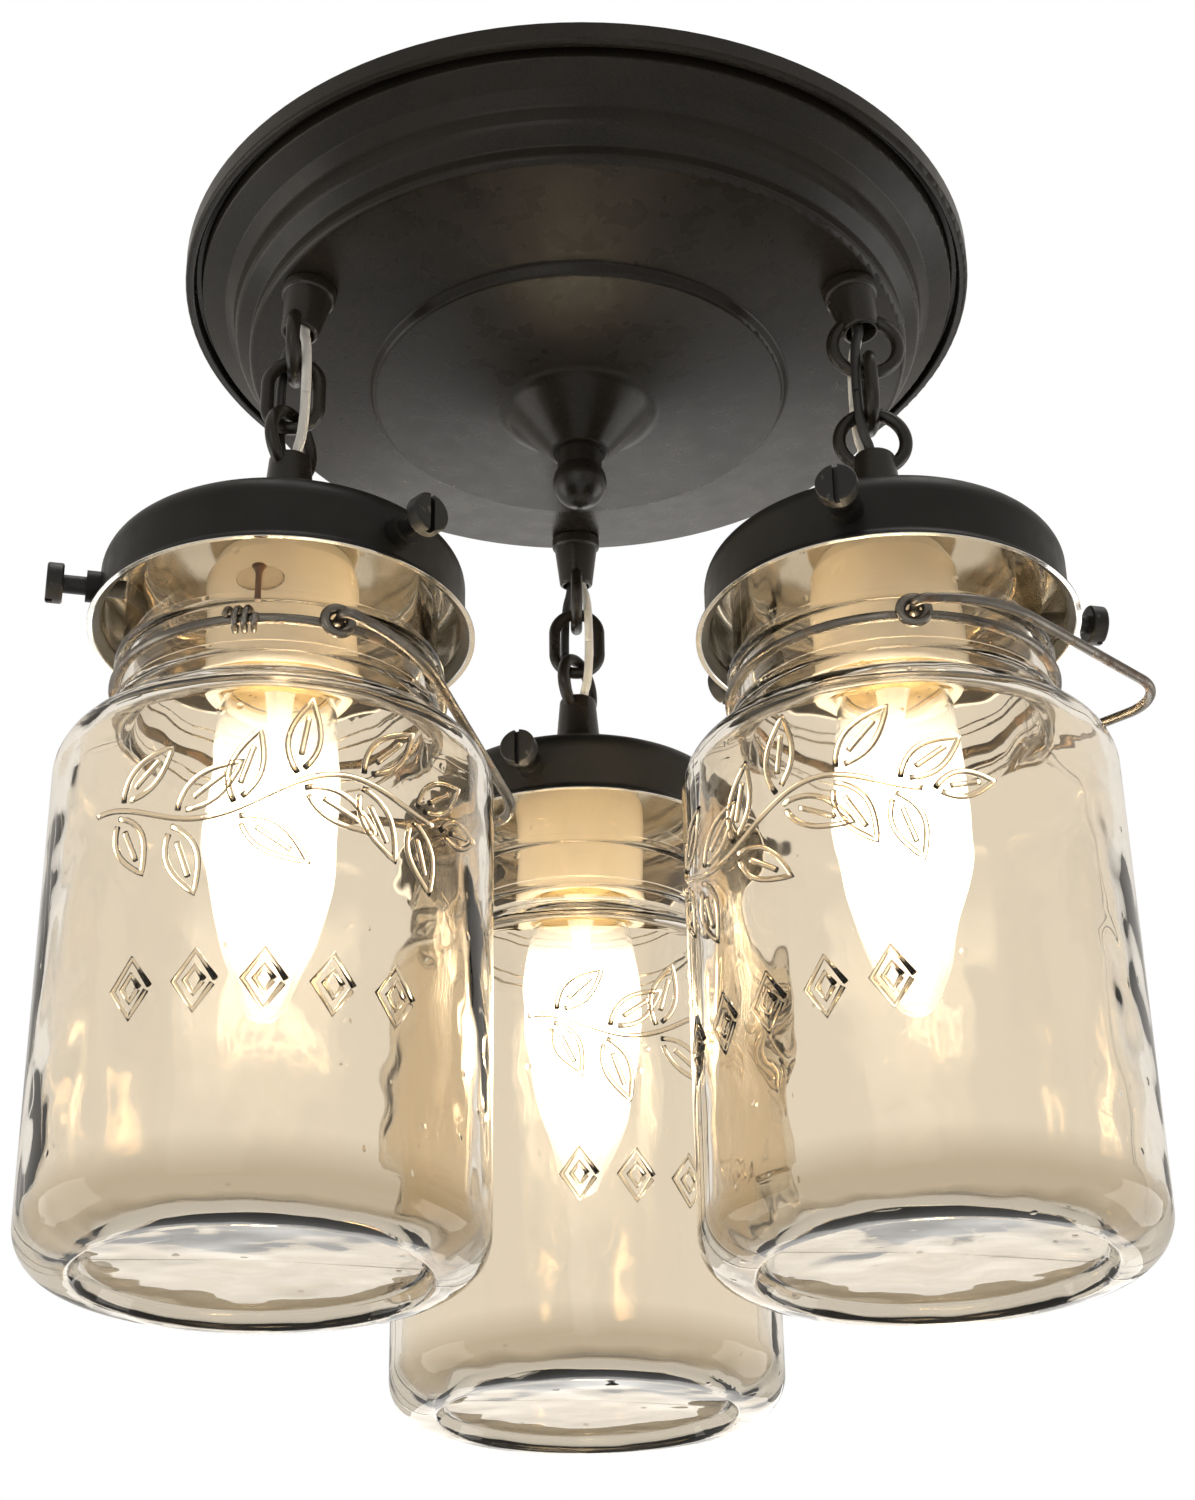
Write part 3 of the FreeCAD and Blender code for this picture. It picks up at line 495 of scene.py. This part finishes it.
def rings_along(line, radius, sides):
    """Rings of points round a line, turned along with it."""
    rings = []
    across = None
    for index, point in enumerate(line):
        ahead = (line[min(index + 1, len(line) - 1)] - line[max(index - 1, 0)]).normalized()
        if across is None:
            across = ahead.orthogonal()
        across = (across - ahead * across.dot(ahead)).normalized()
        up = ahead.cross(across)
        size = radius(index / (len(line) - 1)) if callable(radius) else radius
        turns = [2 * math.pi * step / sides for step in range(sides)]
        rings.append([point + (across * math.cos(t) + up * math.sin(t)) * size for t in turns])
    return rings


def tube(name, rings, material):
    """Closed mesh over rings of points, with smooth sides."""
    sides = len(rings[0])
    vertices = [place for ring in rings for place in ring]
    faces = []
    for ring in range(len(rings) - 1):
        for step in range(sides):
            a = ring * sides + step
            b = ring * sides + (step + 1) % sides
            faces.append((a, b, b + sides, a + sides))
    faces.append(tuple(reversed(range(sides))))
    faces.append(tuple(range(len(vertices) - sides, len(vertices))))
    mesh = bpy.data.meshes.new(name)
    mesh.from_pydata(vertices, [], faces)
    for polygon in mesh.polygons:
        polygon.use_smooth = len(polygon.vertices) == 4
    mesh.materials.append(material)
    piece = bpy.data.objects.new(name, mesh)
    scene.collection.objects.link(piece)
    return piece


for name in PENDANTS:
    centre = axis_of(name)
    for kind, sheath in (("hot", black_sheath), ("neutral", white_sheath)):
        line = smooth_line(f"{kind}_route_{name}", wire_route(name, kind))
        cut = next(index for index, point in enumerate(line) if point.z < MEETING_Z)
        share = (line[cut - 1].z - MEETING_Z) / (line[cut - 1].z - line[cut].z)
        line.insert(cut, line[cut - 1].lerp(line[cut], share))
        rings = rings_along(line, WIRE_RADIUS, WIRE_SIDES)
        upper = tube(f"{kind}_wire_upper_{name}", rings[:cut + 1], sheath)
        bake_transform(upper)
        lower = tube(f"{kind}_wire_lower_{name}", rings[cut:], sheath)
        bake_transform(lower)
        for piece in (upper, lower):
            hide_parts(f"{kind}_wire_{name}")


# Raised leaf garlands and rows of lozenges pressed into the jars

STROKE_RADIUS, STROKE_SINK, STROKE_SIDES = 0.00065, 0.0001, 8
GARLAND_LENGTH, GARLAND_Z, GARLAND_BEND, GARLAND_RISE = 0.078, -0.189, 0.004, 0.1
GARLAND_PAIRS, FIRST_PAIR, PAIRS_SPAN = 6, -0.86, 1.62
LEAF_TURN, LEAF_GAP, LEAF_WIDTH = math.radians(54), 0.0022, 0.0064
LEAF_LENGTH, LEAF_GROWTH = 0.0135, 0.0035
END_LEAF_TURN, END_LEAF_LENGTH, END_LEAF_WIDTH = math.radians(10), 0.0125, 0.0056
LOZENGE_Z, LOZENGE_STEP, LOZENGE_HALF = -0.229, 0.0135, (0.0042, 0.0062)
GARLAND_TURNS = {"left": 276, "right": 224, "back": 300}


def leaf(foot, angle, length, width):
    """Outline of a pointed leaf and its midrib, on the flat."""
    ahead = Vector((math.cos(angle), math.sin(angle)))
    aside = Vector((-ahead.y, ahead.x))
    steps = [step / 12 for step in range(13)]
    edge = [foot + ahead * length * u + aside * width / 2 * math.sin(math.pi * u ** 0.85) for u in steps]
    back = [foot + ahead * length * u - aside * width / 2 * math.sin(math.pi * u ** 0.85) for u in steps]
    rib = [foot + ahead * length * (0.25 + 0.5 * u) for u in steps]
    return [edge + back[-2:0:-1], rib]


def garland_point(u):
    """A point of the garland's stem, from u of -1 to 1."""
    along = GARLAND_LENGTH / 2 * u
    return Vector((along, GARLAND_BEND * math.sin(1.5 * math.pi * u) + GARLAND_RISE * along + GARLAND_Z))


def pressed_strokes():
    """Strokes of one jar on the flat: a stem with pairs of leaves, and the lozenges under it."""
    strokes = [[garland_point(step / 24) for step in range(-24, 23)]]
    for pair in range(GARLAND_PAIRS):
        u = FIRST_PAIR + PAIRS_SPAN * pair / (GARLAND_PAIRS - 1)
        ahead = garland_point(u + 0.02) - garland_point(u - 0.02)
        heading = math.atan2(ahead.y, ahead.x)
        length = LEAF_LENGTH + LEAF_GROWTH * math.cos(1.3 * u)
        for side in (1, -1):
            turn = heading + side * LEAF_TURN
            foot = garland_point(u) + Vector((math.cos(turn), math.sin(turn))) * LEAF_GAP
            strokes += leaf(foot, turn, length, LEAF_WIDTH)
    strokes += leaf(garland_point(0.98), END_LEAF_TURN, END_LEAF_LENGTH, END_LEAF_WIDTH)
    wide, tall = LOZENGE_HALF
    for place in range(-2, 3):
        middle = Vector((place * LOZENGE_STEP, LOZENGE_Z))
        for share in (1.0, 0.45):
            turns = ((1, 0), (0, 1), (-1, 0), (0, -1), (0.86, -0.14))
            strokes.append([middle + Vector((x * wide, y * tall)) * share for x, y in turns])
    return strokes


def join_tubes(name, bundles, material):
    """One mesh from several sets of rings."""
    pieces = [tube(name, rings, material) for rings in bundles]
    with bpy.context.temp_override(active_object=pieces[0], selected_editable_objects=pieces):
        bpy.ops.object.join()
    return pieces[0]


for name in PENDANTS:
    centre = axis_of(name)
    low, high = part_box(f"jar_{name}")
    body = (high.x - low.x) / 2 - STROKE_SINK
    bundles = []
    for stroke in pressed_strokes():
        line = []
        for point in stroke:
            turn = math.radians(GARLAND_TURNS[name]) + point.x / body
            line.append(centre + Vector((body * math.cos(turn), body * math.sin(turn), point.y)))
        bundles.append(rings_along(line, STROKE_RADIUS, STROKE_SIDES))
    pressed = join_tubes(f"pressed_leaves_{name}", bundles, nodes[f"jar_{name}"].data.materials[0])
    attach(pressed, f"pendant_{name}")


# Fine filament strands, strung up and down round the arch

STRANDS, STRAND_RADIUS, STRAND_SIDES = 20, 0.0004, 6
STRAND_TOP, STRAND_FOOT = (0.0042, 0.0262), (0.0068, 0.0008)
strand_glow = glowing_wire("filament_strands")

for name in PENDANTS:
    centre = axis_of(name)
    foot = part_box(f"bulb_filament_{name}")[0].z
    hooks = []
    for step in range(STRANDS + 1):
        reach, rise = STRAND_TOP if step % 2 else STRAND_FOOT
        hooks.append(centre + spoke(360 * step / STRANDS, reach, foot + rise))
    bundles = []
    for start, end in zip(hooks, hooks[1:]):
        bundles.append(rings_along([start.lerp(end, u / 4) for u in range(5)], STRAND_RADIUS, STRAND_SIDES))
    strands = join_tubes(f"filament_strands_{name}", bundles, strand_glow)
    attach(strands, f"bulb_{name}")


# Small things on the left jar's neck: a boss in the glass, a rusty pin in it and a twist of wire under it

LUG_TURN, TWIST_TURN = 268, 263
NECK_RADIUS, BOSS_Z, GROOVE_Z = 0.0352, -0.1315, -0.14238
BOSS_SINK, BOSS_WIDTH, BOSS_HEIGHT, BOSS_DEPTH = 0.0004, 0.0052, 0.0032, 0.0016
PIN_OUT, PIN_RISE, PIN_LENGTH, PIN_RADIUS, PIN_HEAD = 0.0022, 0.0015, 0.0085, 0.0007, 0.0009
TWIST_OUT, TWIST_COIL, TWIST_COILS, TWIST_SPAN, TWIST_RADIUS = 0.0012, 0.0024, 3, 0.17, 0.0007
rust = insulation("rusty_pin", (0.07, 0.028, 0.008), (0.19, 0.085, 0.03))


def boss(name, foot, out, width, height, depth, material):
    """A flat dome standing on a wall."""
    across = Vector((-out.y, out.x, 0))
    rings = []
    for step in range(8):
        tilt = math.pi / 2 * step / 7.5
        turns = [2 * math.pi * k / 24 for k in range(24)]
        middle = foot + out * depth * math.sin(tilt)
        rings.append([middle + (across * width * math.cos(t) + Vector((0, 0, height * math.sin(t)))) * math.cos(tilt)
                      for t in turns])
    return tube(name, rings, material)


centre = axis_of("left")
out = spoke(LUG_TURN, 1.0)
lug = boss("neck_boss_left", centre + out * (NECK_RADIUS - BOSS_SINK) + Vector((0, 0, BOSS_Z)), out, BOSS_WIDTH,
           BOSS_HEIGHT, BOSS_DEPTH, nodes["jar_left"].data.materials[0])
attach(lug, "pendant_left")
line = []
for step in range(9):
    line.append(centre + out * (NECK_RADIUS + PIN_OUT) + Vector((0, 0, BOSS_Z + PIN_RISE - PIN_LENGTH * step / 8)))
pin = tube("neck_pin_left", rings_along(line, lambda u: PIN_RADIUS + PIN_HEAD * max(0.0, 1 - 6 * u), 12), rust)
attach(pin, "pendant_left")
line = []
for step in range(61):
    u = step / 60
    turn = math.radians(TWIST_TURN) + TWIST_SPAN * (u - 0.5)
    spin = 2 * math.pi * TWIST_COILS * u
    reach = NECK_RADIUS + TWIST_OUT + TWIST_COIL * math.cos(spin)
    rise = GROOVE_Z + TWIST_COIL * math.sin(spin)
    line.append(centre + Vector((reach * math.cos(turn), reach * math.sin(turn), rise)))
twist = tube("neck_twist_left", rings_along(line, TWIST_RADIUS, 10), wire_steel)
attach(twist, "pendant_left")


# Floor, light and camera

FLOOR_HALF, FLOOR_Z = 3, -1.3
NEAR_SHARE, FAR_SHARE, NEAR, FAR = 0.75, 1.0, 0.6, 2.4

floor_mesh = bpy.data.meshes.new("floor")
corners = [(x * FLOOR_HALF, y * FLOOR_HALF, FLOOR_Z) for x, y in ((-1, -1), (1, -1), (1, 1), (-1, 1))]
floor_mesh.from_pydata(corners, [], [(0, 1, 2, 3)])
floor = bpy.data.objects.new("floor", floor_mesh)
scene.collection.objects.link(floor)
s = Shader("floor")
pale = s.ramp(s.noise(s.place, 3, 3), (0.3, (0.80, 0.795, 0.785)), (0.7, (0.84, 0.835, 0.825)))
path = s.add("LightPath").outputs
seen = s.math("MAXIMUM", path["Is Camera Ray"], path["Is Glossy Ray"])
share = s.span(s.radius((0, 0, 0)), NEAR_SHARE, FAR_SHARE, NEAR, FAR)
seen = s.math("MULTIPLY", s.math("MAXIMUM", seen, path["Is Transmission Ray"]), share)
lit = s.principled(Base_Color=pale, Roughness=0.8).outputs[0]
white = s.add("Emission", {"Color": (1.0, 1.0, 1.0), "Strength": 1.0}).outputs[0]
floor_mesh.materials.append(s.done(s.add("MixShader", {0: seen, 1: lit, 2: white}).outputs[0]))

world = bpy.data.worlds.new("studio")
scene.world = world
world.use_nodes = True
tree = world.node_tree
path = tree.nodes.new("ShaderNodeLightPath")
shown = tree.nodes.new("ShaderNodeMath")
shown.operation = "MAXIMUM"
tree.links.new(path.outputs["Is Camera Ray"], shown.inputs[0])
tree.links.new(path.outputs["Is Transmission Ray"], shown.inputs[1])
level = tree.nodes.new("ShaderNodeMapRange")
level.inputs["To Min"].default_value = 0.4
level.inputs["To Max"].default_value = 0.7
tree.links.new(path.outputs["Is Glossy Ray"], level.inputs["Value"])
room = tree.nodes["Background"]
room.inputs["Color"].default_value = (1.0, 0.96, 0.9, 1)
tree.links.new(level.outputs["Result"], room.inputs["Strength"])
backdrop = tree.nodes.new("ShaderNodeBackground")
backdrop.inputs["Color"].default_value = (1, 1, 1, 1)
either = tree.nodes.new("ShaderNodeMixShader")
tree.links.new(shown.outputs[0], either.inputs[0])
tree.links.new(room.outputs[0], either.inputs[1])
tree.links.new(backdrop.outputs[0], either.inputs[2])
tree.links.new(either.outputs[0], tree.nodes["World Output"].inputs["Surface"])


def area_light(name, place, target, size, power, colour):
    data = bpy.data.lights.new(name, "AREA")
    data.size = size
    data.energy = power
    data.color = colour
    lamp = bpy.data.objects.new(name, data)
    scene.collection.objects.link(lamp)
    lamp.visible_camera = False
    lamp.visible_transmission = False
    lamp.location = place
    lamp.rotation_euler = (Vector(target) - Vector(place)).to_track_quat("-Z", "Y").to_euler()


middle = (0, 0, -0.14)
area_light("left", (-1.1, 0.1, -0.45), middle, 0.8, 4.5, (1.0, 0.97, 0.92))
area_light("right", (1.1, 0.3, -0.45), middle, 0.8, 4.5, (1.0, 0.98, 0.95))
area_light("back", (0.1, 1.3, -0.5), middle, 0.9, 4.0, (1.0, 0.98, 0.95))
area_light("front", (-0.4, -1.3, -0.1), middle, 0.8, 2.0, (1.0, 0.98, 0.95))
area_light("top", (0.2, -0.2, 1.3), middle, 1.0, 8.0, (1.0, 0.98, 0.95))

# The camera stands below and in front, as fitted to the photograph of 1195 by 1500 pixels.
BACK, BELOW = 0.552117, 0.423201
YAW, PITCH, ROLL, TURN = (math.radians(angle) for angle in (0.335, 27.612, -1.02, 1.1))
FOCAL_PIXELS = 2609.7
forward = Vector((math.sin(YAW) * math.cos(PITCH), math.cos(YAW) * math.cos(PITCH), math.sin(PITCH)))
right = Vector((math.cos(YAW), -math.sin(YAW), 0))
up = right.cross(forward)
rolled_right = right * math.cos(ROLL) + up * math.sin(ROLL)
rolled_up = up * math.cos(ROLL) - right * math.sin(ROLL)
facing = Matrix((rolled_right, rolled_up, -forward)).transposed().to_4x4()
lens = bpy.data.cameras.new("camera")
lens.sensor_width = 36
lens.lens = FOCAL_PIXELS / 1500 * 36
lens.clip_start = 0.01
camera = bpy.data.objects.new("camera", lens)
scene.collection.objects.link(camera)
camera.matrix_world = (Matrix.Rotation(-TURN, 4, "Z") @ Matrix.Translation((0, -BACK, -BELOW)) @ facing)
scene.camera = camera
